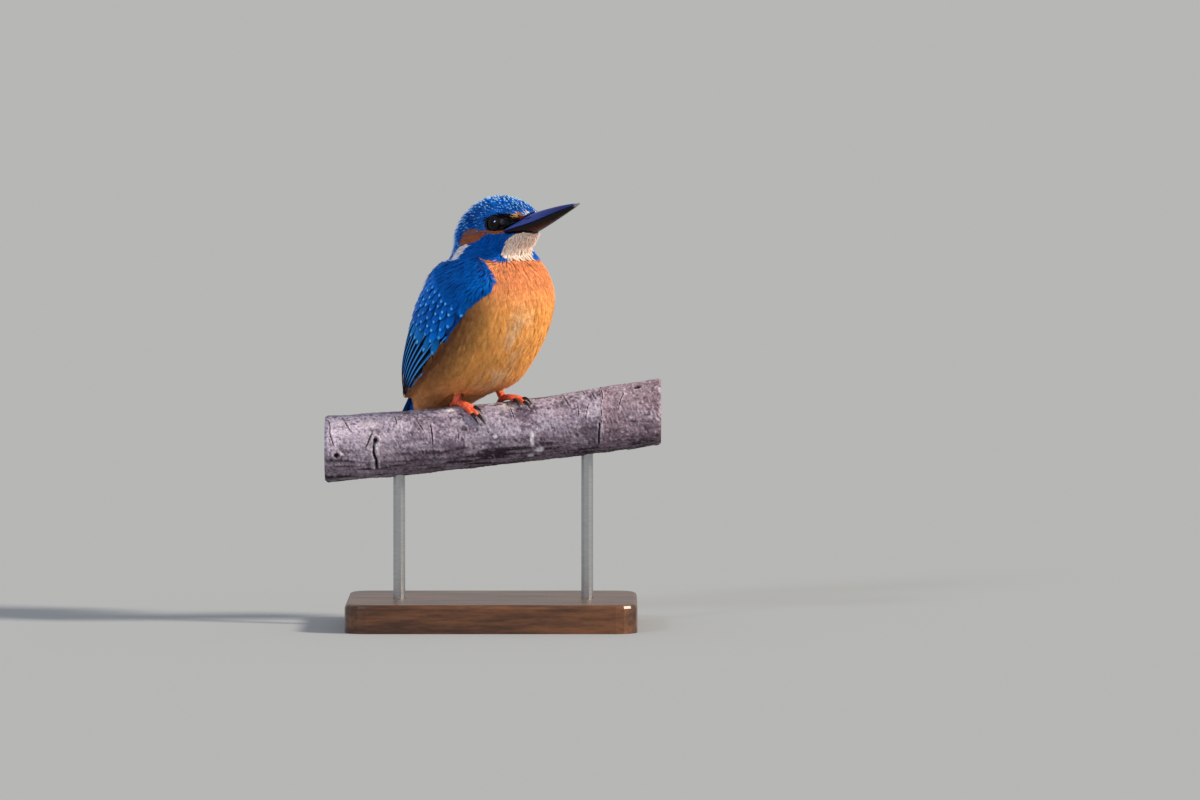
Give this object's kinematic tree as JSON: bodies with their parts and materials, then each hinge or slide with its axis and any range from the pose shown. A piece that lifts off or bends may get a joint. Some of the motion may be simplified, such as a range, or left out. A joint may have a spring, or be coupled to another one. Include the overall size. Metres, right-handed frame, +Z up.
{
  "type": "kingfisher",
  "caption": "Life-size common kingfisher perched upright on a short cut branch, head turned along its bill, on a plain display stand.",
  "frame": {"origin": "middle of the whole model's foot, on the underside of the stand", "axes": "+Z up; +X along the perch, towards the side that the bill points to; -Y towards the viewer who sees the bird's right side"},
  "size_m": [0.141, 0.0974, 0.1812],
  "materials": {
    "feathers_blue": "overlapping blue feathers with small paler blue spots and a silky gloss",
    "feathers_orange": "soft orange body feathers with fine hair-like tips",
    "feathers_white": "soft cream-white feathers",
    "foot_skin": "orange-red scaled skin, slightly shiny",
    "bill_horn": "slate-black horn, smooth, with a dull red base to the lower half",
    "claw_horn": "dark brown horn, smooth",
    "eye": "near-black wet eye under a clear cornea",
    "bark": "grey weathered bark, finely cracked, with pale cut ends",
    "stand_wood": "dark stained hardwood, satin",
    "stand_steel": "plain turned steel rod"
  },
  "bodies": {
    "root": {"bill_lower": "bill_horn", "bill_upper": "bill_horn", "claw_left_1": "claw_horn", "claw_left_2": "claw_horn", "claw_left_3": "claw_horn", "claw_left_4": "claw_horn", "claw_right_1": "claw_horn", "claw_right_2": "claw_horn", "claw_right_3": "claw_horn", "claw_right_4": "claw_horn", "eye_left": "eye", "eye_right": "eye", "head": "feathers_blue", "leg_left": "foot_skin", "leg_right": "foot_skin", "neck": "feathers_white", "perch": "bark", "stand_base": "stand_wood", "stand_rod_1": "stand_steel", "stand_rod_2": "stand_steel", "tail": "feathers_blue", "trunk": "feathers_orange", "wing_left": "feathers_blue", "wing_right": "feathers_blue"}
  },
  "joints": []
}
